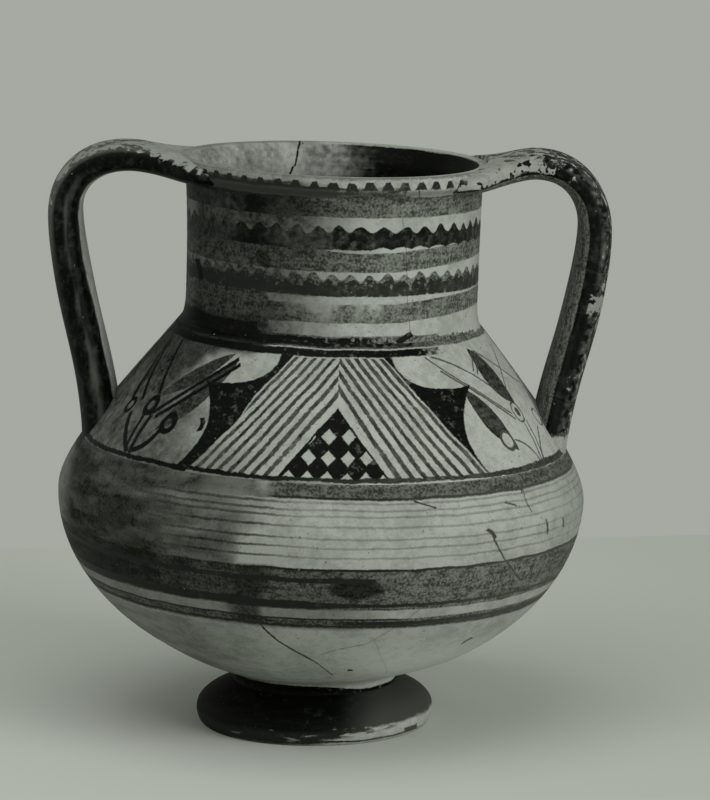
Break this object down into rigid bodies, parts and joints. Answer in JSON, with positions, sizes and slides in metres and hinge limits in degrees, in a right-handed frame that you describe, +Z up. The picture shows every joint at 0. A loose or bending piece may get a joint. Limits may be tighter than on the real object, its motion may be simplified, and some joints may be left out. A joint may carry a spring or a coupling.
{
  "type": "krater",
  "caption": "Wide-mouthed clay krater with a round painted bowl, tall neck, squared lip, strap handles from lip to shoulder, and a low hollow foot.",
  "frame": {"origin": "on the plane that the foot rests on, under the middle of the handles' reach", "axes": "+Z up; +X from the left handle to the right one, the way the mouth leans; the painted front faces -Y"},
  "size_m": [0.2773, 0.2612, 0.2911],
  "materials": {
    "pale_clay": "matt burnished pale clay with dark painted ornament",
    "banded_clay": "matt burnished clay with grey and dark painted bands",
    "dark_paint": "dark painted clay, slightly shiny, worn at the edges"
  },
  "bodies": {
    "root": {"foot": "dark_paint", "belly": "banded_clay", "shoulder": "pale_clay", "neck": "banded_clay", "rim": "pale_clay", "handle_left": "dark_paint", "handle_right_top": "dark_paint", "handle_right_leg": "dark_paint", "handle_right_root": "dark_paint"}
  },
  "joints": []
}
